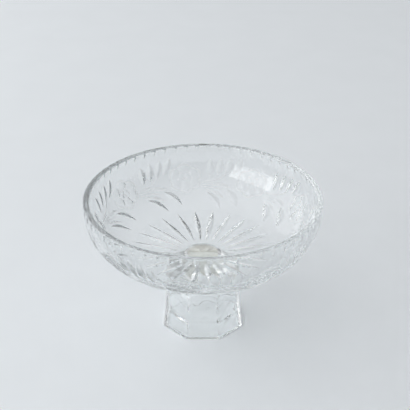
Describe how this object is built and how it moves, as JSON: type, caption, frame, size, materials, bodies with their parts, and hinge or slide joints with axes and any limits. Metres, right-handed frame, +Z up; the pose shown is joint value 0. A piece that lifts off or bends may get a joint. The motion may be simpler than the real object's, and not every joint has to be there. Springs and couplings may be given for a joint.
{
  "type": "pedestal fruit bowl",
  "caption": "Shallow round cut-crystal fruit bowl with a notched rim and a ray star under its floor, bonded on a hollow eight-sided pedestal foot.",
  "frame": {"origin": "on the table, at the middle of the foot", "axes": "+Z up along the axis of the bowl, -Y out of the flat of the foot that faces the viewer"},
  "size_m": [0.25, 0.25, 0.1523],
  "materials": {
    "lead_crystal": "cut and polished clear lead crystal",
    "bond_film": "clear cured adhesive with a faint straw tint"
  },
  "bodies": {
    "root": {"bowl": "lead_crystal", "bond_disc": "bond_film", "pedestal_foot": "lead_crystal"}
  },
  "joints": []
}
